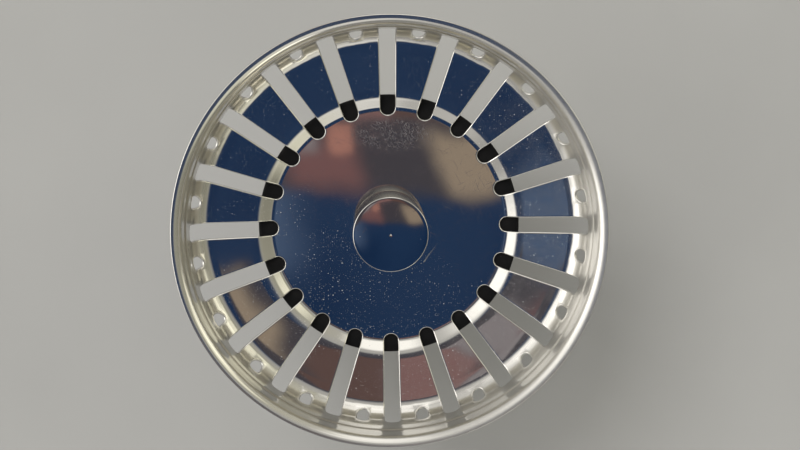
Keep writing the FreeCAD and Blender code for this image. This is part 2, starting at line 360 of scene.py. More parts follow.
def pressedSheet(finish):
    look = sheetLook
    place = finish.place()
    x, y, z = finish.split(place)
    radius = (x * x + y * y) ** 0.5
    patches = finish.noise(place, look["patchScale"], detail=3.0)
    mottle = finish.noise(place, look["mottleScale"], detail=4.0, roughness=0.62)
    waves = finish.noise(place, look["waveScale"], detail=1.0)

    def zone(name):
        start, end = sheetZones[name]
        return radius.rise(start * mm, end * mm)

    plate = zone("plate")
    flange = zone("flange")
    wall = zone("wall") * (1.0 - flange)
    above, below = look["drawnBelow"]
    drawn = zone("drawn") * z.rise((rimZ - above) * mm, (rimZ - below) * mm)
    # the east side is worn the most
    worn = (x - y * 0.3).rise(0.0, 30 * mm) * mottle.rise(0.25, 0.7)
    wallWorn = (x - y * 0.1).rise(12 * mm, 34 * mm)
    flangeWorn = (x - y * 0.5).rise(-12 * mm, 36 * mm)
    lines = finish.noiseAlong(z + radius * 0.6, look["lineScale"], detail=3.0)
    scratch = finish.scratches(place, **look["scratches"]) * patches.rise(0.5, 0.68)
    swirl = finish.scratches(place, **look["swirls"])
    # dust lies on the plate's near half and in patches on the floor
    dust = finish.specks(place, **look["coarseDust"])
    fine = finish.specks(place, **look["fineDust"])
    dusty = plate * (y + x * 0.5).rise(7 * mm, -12 * mm) + (1.0 - plate) * 0.6
    dust = dust * patches.rise(0.38, 0.56) + fine * patches.rise(0.26, 0.58)
    dust = (dust * dusty * zone("dusty")).maths("MINIMUM", 1.0)
    # a rubbed place on the far side of the knob
    across = (x - look["rubEast"] * mm) / (look["rubWide"] * mm)
    along = (y - look["rubNorth"] * mm) / (look["rubTall"] * mm)
    rubbed = finish.scratches(place, **look["rubMarks"]) * mottle.rise(0.3, 0.5)
    rubbed = rubbed * (across * across + along * along).rise(1.1, 0.3)
    # and one longer scratch, slightly bowed, beside the knob
    nickTurn = math.radians(look["nickTurn"])
    turnX, turnY = math.cos(nickTurn), math.sin(nickTurn)
    nickX, nickY = x - look["nickEast"] * mm, y - look["nickNorth"] * mm
    nickLong = nickX * turnX + nickY * turnY
    nickBow = nickY * turnX - nickX * turnY + nickLong * nickLong * look["nickBow"]
    nick = nickBow.maths("ABSOLUTE").rise(0.15 * mm, 0.05 * mm) * nickLong.rise(0.0, 0.4 * mm)
    nick = nick * nickLong.rise(look["nickLength"] * mm, 0.5 * mm)
    rubbed = rubbed + nick * (0.5 + mottle.rise(0.35, 0.55))
    # painted shade: a dark line along the crease under the band, standing in for the shade of the band's
    # step; the crease is also made rougher
    crease = (z - (rimZ - look["creaseBelow"]) * mm).maths("ABSOLUTE")
    crease = crease.rise(look["creaseHalf"] * mm, 0.1 * mm) * zone("crease")
    base = finish.mixColour(crease * 0.85, look["steel"], look["creaseShade"])
    base = finish.mixColour(dust, base, look["dust"])
    height = waves * (look["waveHeight"] * mm) + lines * (drawn + flange) * (look["lineHeight"] * mm)
    height = height - scratch * (look["scratchDepth"] * mm) + dust * (look["dustHeight"] * mm)
    normal = finish.bump(height)
    roughness = look["roughness"] + patches * 0.025 + scratch * 0.2 + swirl * plate * 0.1 + rubbed * 0.2
    roughness = roughness + drawn * lines * 0.14 + wall * 0.04 + crease * 0.25 + dust * 0.6
    # a mirror and a dull layer, mixed by how worn the place is
    bright = finish.metal(base, roughness.maths("MINIMUM", 0.95), normal, 1.0 - dust)
    hazy = finish.metal(look["haze"], look["hazeRoughness"], normal)
    floorHaze = (look["floorHaze"] + look["wornHaze"] * worn) * (1.0 - wall)
    wallHaze = wall * (look["wallHaze"] + look["wallWorn"] * wallWorn)
    haze = plate * look["plateHaze"] + (1.0 - plate) * floorHaze + wallHaze
    haze = haze + flange * (look["flangeHaze"] + look["flangeWorn"] * flangeWorn)
    haze = (haze + rubbed * 0.32 + nick * 0.5 + scratch * 0.15).maths("MINIMUM", 1.0)
    return finish.node("MixShader", {}, {0: haze * (1.0 - dust), 1: bright, 2: hazy})["Shader"]


# The sheared edges of slots, holes and rim: paler and duller than the faces
edgeLook = {
    "steel": colour(0.78, 0.775, 0.755), "rim": colour(0.42, 0.42, 0.415), "roughness": 0.27,
    "rimRadius": (38.7, 38.9), "grainStretch": (500, 500, 4200), "grainHeight": 0.004,
}


def cutEdge(finish):
    place = finish.place()
    x, y, z = finish.split(place)
    inside, outside = edgeLook["rimRadius"]
    rim = ((x * x + y * y) ** 0.5).rise(inside * mm, outside * mm)
    grain = finish.noise(finish.stretched(place, 0, edgeLook["grainStretch"]), 1.0, detail=3.0)
    base = finish.mixColour(rim, edgeLook["steel"], edgeLook["rim"])
    roughness = edgeLook["roughness"] + grain * 0.15 + rim * 0.1
    return finish.metal(base, roughness, finish.bump(grain * (edgeLook["grainHeight"] * mm)))


# Turned and polished: fine rings round the axis, some scratches on top
turnedLook = {
    "steel": colour(0.68, 0.665, 0.64), "side": colour(0.66, 0.62, 0.50), "roughness": 0.03,
    "ringScale": 7000.0, "patchScale": 260.0, "waveScale": 150.0,
    "ringHeight": 0.00025, "waveHeight": 0.004, "scratchDepth": 0.0005, "dustHeight": 0.01,
    "scratches": {"turns": (8, 64, 133), "length": 3, "width": 0.1, "least": 0.73},
    "specks": {"spacing": 1.1, "size": 0.1, "share": 0.16},
    "sideRadius": (6.25, 6.4), "sideBelow": (0.5, 0.7),
}


def turnedSteel(finish):
    look = turnedLook
    place = finish.place()
    x, y, z = finish.split(place)
    radius = (x * x + y * y) ** 0.5
    rings = finish.noiseAlong(radius + z * 0.8, look["ringScale"], detail=3.0)
    patches = finish.noise(place, look["patchScale"], detail=3.0)
    waves = finish.noise(place, look["waveScale"], detail=1.0)
    # the knob's side, a little duller and rougher than its head, and tinted olive as a painted
    # reflection of warm surroundings
    inside, outside = look["sideRadius"]
    above, below = look["sideBelow"]
    knobSide = radius.rise(inside * mm, outside * mm)
    knobSide = knobSide * z.rise((knobTopZ - above) * mm, (knobTopZ - below) * mm)
    scratch = finish.scratches(place, **look["scratches"]) * patches.rise(0.48, 0.66)
    dust = finish.specks(place, **look["specks"])
    # painted reflection: the knob's side takes an olive tint
    base = finish.mixColour(knobSide, look["steel"], look["side"])
    base = finish.mixColour(dust, base, sheetLook["dust"])
    height = rings * (look["ringHeight"] * mm) + waves * (look["waveHeight"] * mm)
    height = height - scratch * (look["scratchDepth"] * mm) + dust * (look["dustHeight"] * mm)
    roughness = look["roughness"] + patches * 0.03 + rings * 0.02 + scratch * 0.15 + dust * 0.6
    roughness = roughness + knobSide * 0.08
    return finish.metal(base, roughness.maths("MINIMUM", 0.95), finish.bump(height), 1.0 - dust)


# Plain machine finish of the nut and the lock washer
satinLook = {
    "steel": colour(0.60, 0.59, 0.57), "dull": colour(0.46, 0.44, 0.41), "roughness": 0.24,
    "patchScale": 420.0, "grainScale": 5200.0, "grainHeight": 0.0016, "scratchDepth": 0.002,
    "scratches": {"turns": (20, 80, 140), "length": 4, "width": 0.15, "least": 0.68},
}


def satinSteel(finish):
    look = satinLook
    place = finish.place()
    patches = finish.noise(place, look["patchScale"], detail=4.0)
    grain = finish.noise(place, look["grainScale"], detail=2.0)
    scratch = finish.scratches(place, **look["scratches"])
    base = finish.mixColour(patches.rise(0.35, 0.75) * 0.4, look["steel"], look["dull"])
    roughness = look["roughness"] + patches * 0.14 + grain * 0.08 - scratch * 0.08
    height = grain * (look["grainHeight"] * mm) - scratch * (look["scratchDepth"] * mm)
    return finish.metal(base, roughness, finish.bump(height))


# Spring and balls, a little dull in patches
springLook = {
    "steel": colour(0.62, 0.62, 0.61), "dull": colour(0.48, 0.46, 0.44), "roughness": 0.1,
    "patchScale": 900.0,
}


def springSteel(finish):
    patches = finish.noise(finish.place(), springLook["patchScale"], detail=3.0)
    base = finish.mixColour(patches.rise(0.4, 0.7) * 0.3, springLook["steel"], springLook["dull"])
    return finish.node("BsdfPrincipled", {}, {
        "Base Color": base, "Metallic": 1.0,
        "Roughness": springLook["roughness"] + patches * 0.12})["BSDF"]


# Black moulded rubber, matt, with pale dust in its grain
rubberLook = {
    "black": colour(0.0045, 0.0045, 0.005), "worn": colour(0.016, 0.015, 0.014),
    "dust": colour(0.3, 0.3, 0.29), "roughness": 0.5, "shine": 0.16,
    "patchScale": 210.0, "grainScale": 3200.0, "patchHeight": 0.02, "grainHeight": 0.012,
    "specks": {"spacing": 1.0, "size": 0.1, "share": 0.25},
}


def blackRubber(finish):
    look = rubberLook
    place = finish.place()
    patches = finish.noise(place, look["patchScale"], detail=4.0)
    grain = finish.noise(place, look["grainScale"], detail=2.0)
    dust = finish.specks(place, **look["specks"])
    base = finish.mixColour(patches.rise(0.45, 0.8) * 0.5, look["black"], look["worn"])
    base = finish.mixColour(dust * 0.6, base, look["dust"])
    roughness = look["roughness"] + grain * 0.2 + patches * 0.1
    height = grain * (look["grainHeight"] * mm) + patches * (look["patchHeight"] * mm)
    return finish.node("BsdfPrincipled", {}, {
        "Base Color": base, "Roughness": roughness, "Specular IOR Level": look["shine"],
        "Normal": finish.bump(height)})["BSDF"]


# Pale matt floor
floorLook = {
    "dark": colour(0.32, 0.32, 0.317), "pale": colour(0.35, 0.35, 0.346), "roughness": 0.6,
    "grainScale": 30.0,
}


def floorPaint(finish):
    grain = finish.noise(finish.place(), floorLook["grainScale"], detail=3.0)
    base = finish.mixColour(grain, floorLook["dark"], floorLook["pale"])
    return finish.node("BsdfPrincipled", {}, {
        "Base Color": base, "Roughness": floorLook["roughness"] + grain * 0.1})["BSDF"]


sheetMaterial = newMaterial("pressed_sheet", pressedSheet)
edgeMaterial = newMaterial("cut_edge", cutEdge)
turnedMaterial = newMaterial("turned_steel", turnedSteel)
satinMaterial = newMaterial("satin_steel", satinSteel)
springMaterial = newMaterial("spring_steel", springSteel)
rubberMaterial = newMaterial("black_rubber", blackRubber)


# Basket: one sector is cut flat with its slot and its hole, then pressed to the bowl's section
# and copied round the axis
basketSizes = {
    "sheet": 0.6, "bore": 4.05,
    "plateRadius": 22.7, "plateBend": 1.8,
    "stepRun": 2.0, "stepRise": 1.15, "stepBend": 3.6,
    "floorSlope": 8.2, "wallDraft": 1.5, "wallBend": 3.5,
    "bandHeight": 4.2, "bandStep": 0.2, "bandBend": 0.15,
    "flangeWidth": 1.9, "flangeBend": 1.7, "flangeDish": 11.0, "lipRound": 0.16,
    "slotCount": 20, "slotPhase": 91.0, "slotTip": 21.4,
    "slotWidthIn": 2.7, "slotWidthOut": 3.1, "slotOverrun": 2.0, "slotTop": 8.0, "slotCorner": 1.2,
    "holeWidth": 2.8, "holeHeight": 3.2, "holeTilt": 26.0, "holeLip": 0.13,
    "columns": 18, "rowStep": 1.5, "rowLeast": 0.09, "arcStep": 9.0, "edgeRing": 0.34, "edgeRound": 0.22,
    # the blocks of faces that the openings are cut from, in columns and in length
    "seamColumn": -5.5, "slotColumns": 4.5, "holeColumns": 2.5,
    "slotBelow": 0.55, "slotAbove": 0.6, "holeMargin": 2.45,
}


def bowlCorners():
    size = basketSizes
    slope = math.tan(math.radians(size["floorSlope"]))
    draft = math.tan(math.radians(size["wallDraft"]))
    dish = math.tan(math.radians(size["flangeDish"])) * size["flangeWidth"]
    bandRadius = rimRadius - size["flangeWidth"]
    stepR, stepZ = size["plateRadius"] + size["stepRun"], plateZ + size["stepRise"]
    bandFootZ = rimZ - size["bandHeight"]
    wallTopR, wallTopZ = bandRadius - size["bandStep"], bandFootZ - size["bandStep"]
    drop = (wallTopZ - stepZ - slope * (wallTopR - stepR)) / (1 - slope * draft)
    wallFootR, wallFootZ = wallTopR - drop * draft, wallTopZ - drop
    lipRadius = rimRadius - size["sheet"] * math.sin(math.radians(size["flangeDish"]))
    return [(size["bore"], plateZ, 0), (size["plateRadius"], plateZ, size["plateBend"]),
            (stepR, stepZ, size["stepBend"]), (wallFootR, wallFootZ, size["wallBend"]),
            (wallTopR, wallTopZ, size["bandBend"]), (bandRadius, bandFootZ, size["bandBend"]),
            (bandRadius, rimZ - dish, size["flangeBend"]), (lipRadius, rimZ, 0)]


fineLine = roundedLine(bowlCorners(), 1.0)


# Radius and height of the bowl at a length along its section
def sectionAt(s):
    low, high = 0, len(fineLine) - 1
    while high - low > 1:
        middle = (low + high) // 2
        if fineLine[middle][0] <= s:
            low = middle
        else:
            high = middle
    (s0, r0, z0), (s1, r1, z1) = fineLine[low], fineLine[high]
    share = (s - s0) / (s1 - s0)
    return r0 + share * (r1 - r0), z0 + share * (z1 - z0)


# The length at which the section first passes a radius or a height
def lengthWhere(test):
    before, past = 0.0, fineLine[-1][0]
    for halving in range(40):
        middle = (before + past) / 2
        if test(*sectionAt(middle)):
            past = middle
        else:
            before = middle
    return past


def slotHalfWidth(r, z):
    size = basketSizes
    endRadius = size["slotWidthIn"] / 2
    endR = size["slotTip"] + endRadius
    topZ = rimZ - size["slotTop"]
    if r <= size["slotTip"] or z >= topZ:
        return 0.0
    outR = rimRadius + size["slotOverrun"]
    half = endRadius + (size["slotWidthOut"] / 2 - endRadius) * (r - endR) / (outR - endR)
    if r < endR:
        half = math.sqrt(endRadius ** 2 - (endR - r) ** 2)
    past = z - (topZ - size["slotCorner"])
    if past > 0:
        half -= size["slotCorner"] - math.sqrt(size["slotCorner"] ** 2 - past ** 2)
    return half


def makeBasket():
    size = basketSizes
    pitch = 360 / size["slotCount"]
    columnTurn = pitch / size["columns"]
    total = fineLine[-1][0]
    topZ = rimZ - size["slotTop"]
    endRadius = size["slotWidthIn"] / 2
    tipAt = size["slotTip"] - size["bore"]
    endAt = lengthWhere(lambda r, z: r >= size["slotTip"] + endRadius)
    topAt = lengthWhere(lambda r, z: z >= topZ)
    cornerAt = lengthWhere(lambda r, z: z >= topZ - size["slotCorner"])
    # the hole's middle, on the bend between floor and wall
    bendTurn = math.radians(90 - size["holeTilt"] - size["floorSlope"])
    bendPoints = [s for s, r, z in roundedLine(bowlCorners()[:5], 90.0)]
    holeAt = bendPoints[-4] + size["wallBend"] * bendTurn
    holeX = math.radians(pitch / 2) * sectionAt(holeAt)[0]
    blockLow, blockHigh = tipAt - size["slotBelow"], topAt + size["slotAbove"]
    holeLow, holeHigh = holeAt - size["holeMargin"], holeAt + size["holeMargin"]

    # rows: the section's own bends, the ends of the slot and of the hole's block, then evenly between
    keys = [0.0, blockLow, blockHigh, holeLow, holeHigh, total]
    wanted = [s for s, r, z in roundedLine(bowlCorners(), size["arcStep"])]
    wanted += [tipAt + (endAt - tipAt) * step / 6 for step in range(7)]
    wanted += [cornerAt + (topAt - cornerAt) * step / 4 for step in range(5)]
    rows = sorted(keys)
    for s in wanted:
        if min(abs(s - row) for row in rows) > size["rowLeast"]:
            rows = sorted(rows + [s])
    for before, after in zip(list(rows), rows[1:]):
        parts = math.ceil((after - before) / size["rowStep"])
        rows += [before + (after - before) * part / parts for part in range(1, parts)]
    rows = sorted(rows)

    deselectAll()
    bpy.ops.mesh.primitive_grid_add(x_subdivisions=size["columns"],
                                    y_subdivisions=len(rows) - 1, size=1)
    piece = openPiece("basket")
    mesh = bmesh.from_edit_mesh(piece.data)
    firstTurn = size["seamColumn"] * columnTurn  # the seam runs between a hole and the next slot
    for vert in mesh.verts:
        column = round((vert.co.x + 0.5) * size["columns"])
        s = rows[round((vert.co.y + 0.5) * (len(rows) - 1))]
        turn = math.radians(firstTurn + column * columnTurn)
        vert.co = (turn * sectionAt(s)[0] * mm, s * mm, 0)
    bmesh.update_edit_mesh(piece.data)

    def inSlot(x, s):
        return abs(x) < slotHalfWidth(*sectionAt(s))

    def inHole(x, s):
        rise = size["wallBend"] * math.sin((s - holeAt) / size["wallBend"])
        return ((x - holeX) * 2 / size["holeWidth"]) ** 2 + (rise * 2 / size["holeHeight"]) ** 2 < 1

    # a block of faces comes out, and its edge is drawn in to the outline of the opening
    def cutOpening(turnLow, turnHigh, low, high, inside, middleOf, lip):
        def inBlock(point, margin=0.0):
            s = point.y / mm
            turn = math.degrees(point.x / mm / sectionAt(s)[0])
            return (turnLow - margin < turn < turnHigh + margin
                    and low - margin < s < high + margin)

        selectNone("FACE")
        block = bmesh.from_edit_mesh(piece.data)
        for face in block.faces:
            face.select_set(inBlock(face.calc_center_median()))
        bpy.ops.mesh.delete(type="FACE")
        selectNone("EDGE")
        block = bmesh.from_edit_mesh(piece.data)
        for edge in block.edges:
            middle = (edge.verts[0].co + edge.verts[1].co) / 2
            edge.select_set(edge.is_boundary and inBlock(middle, 0.01))
        for ring in (size["edgeRing"], 0.0):
            bpy.ops.mesh.extrude_edges_move()
            block = bmesh.from_edit_mesh(piece.data)
            for vert in block.verts:
                if not vert.select:
                    continue
                x, s = vert.co.x / mm, vert.co.y / mm
                middleX, middleS = middleOf(x, s)
                near, far = 0.0, 1.0
                for halving in range(30):
                    share = (near + far) / 2
                    if inside(middleX + (x - middleX) * share, middleS + (s - middleS) * share):
                        near = share
                    else:
                        far = share
                outlineX, outlineS = middleX + (x - middleX) * near, middleS + (s - middleS) * near
                gap = math.hypot(x - outlineX, s - outlineS)
                keep = min(ring, gap * 0.6) / gap if gap > 0 else 0.0
                vert.co.x = (outlineX + (x - outlineX) * keep) * mm
                vert.co.y = (outlineS + (s - outlineS) * keep) * mm
                vert.co.z = 0.0 if ring else lip * mm
            bmesh.update_edit_mesh(piece.data)

    slotTurn, holeTurn = size["slotColumns"] * columnTurn, size["holeColumns"] * columnTurn
    cutOpening(-slotTurn, slotTurn, blockLow, blockHigh, inSlot,
               lambda x, s: (0.0, min(max(s, endAt), cornerAt)), 0.0)
    cutOpening(pitch / 2 - holeTurn, pitch / 2 + holeTurn, holeLow, holeHigh, inHole,
               lambda x, s: (holeX, holeAt), size["holeLip"])

    # pressed: the flat sheet is rolled on to the bowl's section
    mesh = bmesh.from_edit_mesh(piece.data)
    for vert in mesh.verts:
        s = min(vert.co.y / mm, total)
        r, z = sectionAt(s)
        angle = math.radians(size["slotPhase"]) + vert.co.x / mm / r
        if vert.co.z > 0:
            (r0, z0), (r1, z1) = sectionAt(s - 0.05), sectionAt(s + 0.05)
            rise = vert.co.z / mm / math.hypot(r1 - r0, z1 - z0)
            r, z = r - rise * (z1 - z0), z + rise * (r1 - r0)
        vert.co = (r * math.cos(angle) * mm, r * math.sin(angle) * mm, z * mm)
    bmesh.update_edit_mesh(piece.data)
    bpy.ops.mesh.select_mode(type="VERT")
    bpy.ops.mesh.select_all(action="SELECT")
    copies = size["slotCount"] - 1
    bpy.ops.mesh.spin(steps=copies, dupli=True, angle=math.radians(pitch * copies),
                      center=(0, 0, 0), axis=(0, 0, 1))
    faceOutward(0.004)
    # the faces look into the bowl, so that the sheet's thickness goes to the outside
    plateFace = min(piece.data.polygons, key=lambda face: face.center.xy.length)
    if plateFace.normal.z < 0:
        piece.data.flip_normals()
    piece.data.materials.append(sheetMaterial)
    piece.data.materials.append(edgeMaterial)
    useModifier(piece, "SOLIDIFY", thickness=size["sheet"] * mm, offset=-1.0, use_even_offset=True,
                use_quality_normals=True, material_offset_rim=1)
    # the lip of the rim is rounded over more than the punched edges
    bpy.ops.object.mode_set(mode="EDIT")
    selectNone("EDGE")
    mesh = bmesh.from_edit_mesh(piece.data)
    lipZ = max(vert.co.z for vert in mesh.verts) - 0.05 * mm
    for edge in mesh.edges:
        edge.select_set(all(vert.co.z > lipZ for vert in edge.verts) and edge.calc_face_angle(0) > 1)
    bpy.ops.mesh.bevel(offset=size["lipRound"] * mm, segments=5, affect="EDGES", clamp_overlap=False)
    bpy.ops.object.mode_set(mode="OBJECT")
    softenEdges(piece, size["edgeRound"], segments=3, above=50, material=1)
    dressPiece(piece, "strainer", ["strainer_basket"],
               [sheetMaterial, edgeMaterial], smoothBelow=40)


makeBasket()


# Knob: a nearly flat head with a turning mark at its middle, and a slightly barrelled side
knobSizes = {
    "crownRise": 0.15, "edge": 0.15, "headIn": 0.1, "belly": 6.2, "footIn": 0.06,
    "pip": 0.15, "pipDepth": 0.05, "pipFloor": 0.4, "pipRound": 0.1, "pipEdge": 0.08,
    "footBand": 0.3, "footRound": 0.12, "recessEdge": 0.1,
    "recess": 5.65, "recessDepth": 1.2, "bore": 4.05, "boreDepth": 7.16, "tip": 2.34,
}


def makeKnob():
    size = knobSizes
    radius = reach("knob")
    headR = radius - size["headIn"]
    footR = radius - size["footIn"]
    bellyZ = knobTopZ - size["belly"]
    crownR = headR - size["edge"]
    sphere = (crownR ** 2 + size["crownRise"] ** 2) / (2 * size["crownRise"])

    def crownZ(r):
        return knobTopZ - sphere + math.sqrt(sphere ** 2 - r ** 2)

    pipZ = crownZ(0) - size["pipDepth"]
    corners = [(0, pipZ, 0), (size["pip"] * size["pipFloor"], pipZ, size["pipRound"]),
               (size["pip"], crownZ(size["pip"]), size["pipEdge"])]
    corners += [(crownR * step / 12, crownZ(crownR * step / 12), 0) for step in range(1, 12)]
    headZ = crownZ(headR)
    corners += [(headR, headZ, size["edge"])]
    # the side swells from the head to the belly and draws in again to the foot
    for step in range(1, 9):
        swell = size["headIn"] * (1 - (1 - step / 8) ** 2)
        corners.append((headR + swell, headZ + (bellyZ - headZ) * step / 8, 0))
    for step in range(1, 5):
        drawIn = size["footIn"] * (step / 4) ** 2
        corners.append((radius - drawIn, bellyZ + (plateZ + size["footBand"] - bellyZ) * step / 4, 0))
    recessZ, boreZ = plateZ + size["recessDepth"], plateZ + size["boreDepth"]
    corners += [(footR, plateZ, size["footRound"]), (size["recess"], plateZ, size["recessEdge"]),
                (size["recess"], recessZ, 0), (size["bore"], recessZ, 0),
                (size["bore"], boreZ, 0), (0, boreZ + size["tip"], 0)]
    piece = spinPiece("knob_turned", corners, steps=128, arcStep=15)
    dressPiece(piece, "strainer", ["knob"], [turnedMaterial], smoothBelow=50)


makeKnob()


# Stem: pilot with a rounded nose, land with the cross bore for the ball catch, relief, threaded end
stemSizes = {
    "pilot": 4.5, "pilotLength": 9.0, "nose": 1.6, "land": 5.0, "landEnd": 21.0, "leadIn": 0.8,
    "chamfer": 0.5, "relief": 3.4, "reliefEnd": 22.2, "thread": 4.0, "threadChamfer": 0.6,
    "boreRadius": 2.05, "edge": 0.12, "stepRound": 0.4, "reliefRound": 0.3, "threadRound": 0.1,
    "boreSides": 48, "domeStep": 15, "domeEnd": 86,
}


def ballPlace(node):
    low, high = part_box(node)
    return (low + high) / 2


def makeStem():
    size = stemSizes
    topZ = highest("stem")
    relief, thread = size["relief"], size["thread"]
    corners = [(0, 0, 0), (size["pilot"], 0, size["nose"]),
               (size["pilot"], size["pilotLength"], size["stepRound"]),
               (size["land"], size["pilotLength"] + size["leadIn"], size["stepRound"]),
               (size["land"], size["landEnd"] - size["chamfer"], size["edge"]),
               (size["land"] - size["chamfer"], size["landEnd"], size["edge"]),
               (relief, size["landEnd"], size["reliefRound"]),
               (relief, size["reliefEnd"], size["reliefRound"]),
               (thread, size["reliefEnd"] + thread - relief, size["threadRound"]),
               (thread, topZ - size["threadChamfer"], size["threadRound"]),
               (thread - size["threadChamfer"], topZ, size["threadRound"]), (0, topZ, 0)]
    piece = spinPiece("stem_turned", corners, steps=128, arcStep=12)
    # the cross bore, closed in at both mouths round the balls
    ball = ballPlace("catch_ball_right")
    deselectAll()
    bpy.ops.mesh.primitive_cylinder_add(vertices=size["boreSides"], radius=size["boreRadius"] * mm,
                                        depth=2 * ball.x, location=(0, 0, ball.z),
                                        rotation=(0, math.pi / 2, 0))
    drill = openPiece("drill")
    bpy.ops.mesh.select_mode(type="FACE")

    def eastOf(face):
        return (drill.matrix_world @ face.calc_center_median()).x

    for side in (1, -1):
        # each end grows into a dome that follows the ball
        ballMiddle = (side * ball.x, 0, ball.z)
        for step in range(1, 7):
            bpy.ops.mesh.select_all(action="DESELECT")
            shape = bmesh.from_edit_mesh(drill.data)
            end = max(shape.faces, key=lambda face: side * eastOf(face))
            end.select_set(True)
            bmesh.update_edit_mesh(drill.data)
            before = math.radians(size["domeStep"] * (step - 1))
            after = math.radians(min(size["domeStep"] * step, size["domeEnd"]))
            forward = size["boreRadius"] * mm * (math.sin(after) - math.sin(before))
            bpy.ops.mesh.extrude_region_move(TRANSFORM_OT_translate={"value": (side * forward, 0, 0)})
            shrink = math.cos(after) / math.cos(before)
            bpy.ops.transform.resize(value=(1, shrink, shrink), center_override=ballMiddle)
    closePiece()
    combine(piece, "DIFFERENCE", drill)
    dressPiece(piece, "strainer", ["stem"], [turnedMaterial], smoothBelow=40)


makeStem()


# Rubber seal: flat on top, with a lip that thins towards its edge and a low bead round it
sealSizes = {
    "bore": 4.05, "lip": 1.3, "hub": 18.5, "hubRound": 0.6, "edge": 0.55,
    "bead": 0.25, "beadAt": 23.2,
}


def makeSeal():
    size = sealSizes
    radius = reach("rubber_seal")
    lipZ = sealTopZ - size["lip"]
    slope = (lipZ - sealZ) / (radius - size["hub"])

    def underZ(r):
        return sealZ + slope * (r - size["hub"])

    beadAt, bead = size["beadAt"], size["bead"]
    corners = [(size["bore"], sealTopZ, 0), (radius, sealTopZ, size["edge"]),
               (radius, lipZ, size["edge"]),
               (beadAt + 2 * bead, underZ(beadAt + 2 * bead), bead),
               (beadAt, underZ(beadAt) - bead, bead),
               (beadAt - 2 * bead, underZ(beadAt - 2 * bead), bead),
               (size["hub"], sealZ, size["hubRound"]), (size["bore"], sealZ, 0),
               (size["bore"], sealTopZ, 0)]
    piece = spinPiece("seal_moulded", corners, steps=180, arcStep=12)
    dressPiece(piece, "strainer", ["rubber_seal"], [rubberMaterial], smoothBelow=50)


makeSeal()


# Cup: a pressed washer, flared down at its edge
cupSizes = {"bore": 4.05, "sheet": 0.8, "turnDown": 2.2, "flareRun": 1.4, "bend": 1.2, "edge": 0.16}


def makeCup():
    size = cupSizes
    radius = reach("seal_cup")
    flare = math.atan2(size["turnDown"], size["flareRun"])
    inset = size["sheet"] * math.tan(flare / 2)
    bendR = radius - size["flareRun"]
    outR = radius - size["sheet"] * math.sin(flare)
    outZ = cupTopZ - size["turnDown"] - size["sheet"] * math.cos(flare)
    under = cupTopZ - size["sheet"]
    edge = size["edge"]
    corners = [(size["bore"], cupTopZ, 0), (bendR, cupTopZ, size["bend"] + size["sheet"]),
               (radius, cupTopZ - size["turnDown"], edge), (outR, outZ, edge),
               (bendR - inset, under, size["bend"]), (size["bore"], under, 0),
               (size["bore"], cupTopZ, 0)]
    piece = spinPiece("cup_pressed", corners, steps=160, arcStep=10)
    dressPiece(piece, "strainer", ["seal_cup"], [sheetMaterial], smoothBelow=40)


makeCup()


# Lock washer: a square ring, split on a slant, its two ends sprung a little apart
washerSizes = {"bore": 4.05, "width": 2.4, "split": 0.8, "slant": 30.0, "edge": 0.15, "steps": 72}


def makeWasher():
    size = washerSizes
    height = washerTopZ - washerZ
    middleZ = (washerZ + washerTopZ) / 2
    middleR = size["bore"] + size["width"] / 2
    halfTurn = size["split"] / math.cos(math.radians(size["slant"])) / 2 / middleR
    deselectAll()
    bpy.ops.mesh.primitive_plane_add(size=1, location=(middleR * mm, 0, middleZ * mm),
                                     rotation=(math.pi / 2, 0, 0))
    piece = openPiece("washer_split")
    bpy.ops.transform.resize(value=(size["width"] * mm, 1, height * mm))
    bpy.ops.mesh.spin(steps=size["steps"], angle=2 * (math.pi - halfTurn),
                      center=(0, 0, 0), axis=(0, 0, 1))
    faceOutward()
    # turned so that the split faces +X, then leaned over along it
    for vert in piece.data.vertices:
        x, y, z = vert.co
        lean = (z / mm - middleZ) * math.tan(math.radians(size["slant"]))
        turn = math.atan2(y, x) % (2 * math.pi)
        angle = turn + halfTurn - lean / middleR
        r = math.hypot(x, y)
        vert.co = (r * math.cos(angle), r * math.sin(angle), z)
    softenEdges(piece, size["edge"], segments=3, above=40)
    dressPiece(piece, "strainer", ["lock_washer"], [satinMaterial], smoothBelow=35)


makeWasher()


# Nut: a hexagon turned to a cone at both faces, bored and countersunk
nutSizes = {
    "flats": 13.0, "bore": 4.05, "faceShare": 0.95, "coneAngle": 30.0, "edge": 0.18, "sink": 0.45,
}


def makeNut():
    size = nutSizes
    flat = size["flats"] / 2
    corner = flat / math.cos(math.pi / 6)
    face = flat * size["faceShare"]
    fall = (corner - face) * math.tan(math.radians(size["coneAngle"]))
    sink, bore, wide = size["sink"], size["bore"], corner + 1
    coneRise = fall * (wide - face) / (corner - face)
    cone = spinPiece("nut_cone", [
        (bore, nutZ + sink, 0), (bore + sink, nutZ, 0), (face, nutZ, 0), (wide, nutZ + coneRise, 0),
        (wide, nutTopZ - coneRise, 0), (face, nutTopZ, 0), (bore + sink, nutTopZ, 0),
        (bore, nutTopZ - sink, 0), (bore, nutZ + sink, 0)], steps=96, arcStep=10)
    deselectAll()
    bpy.ops.mesh.primitive_cylinder_add(vertices=6, radius=corner * mm,
                                        depth=(nutTopZ - nutZ + 2) * mm,
                                        location=(0, 0, (nutZ + nutTopZ) / 2 * mm),
                                        rotation=(0, 0, math.pi / 6))
    prism = openPiece("nut_prism")
    closePiece()
    cone.name = "nut_hexagon"
    combine(cone, "INTERSECT", prism)
    softenEdges(cone, size["edge"], segments=2, above=25)
    dressPiece(cone, "strainer", ["clamp_nut"], [satinMaterial], smoothBelow=30)


makeNut()


# Catch balls: a cube cut fine and drawn to a sphere
ballSizes = {"cuts": 15}


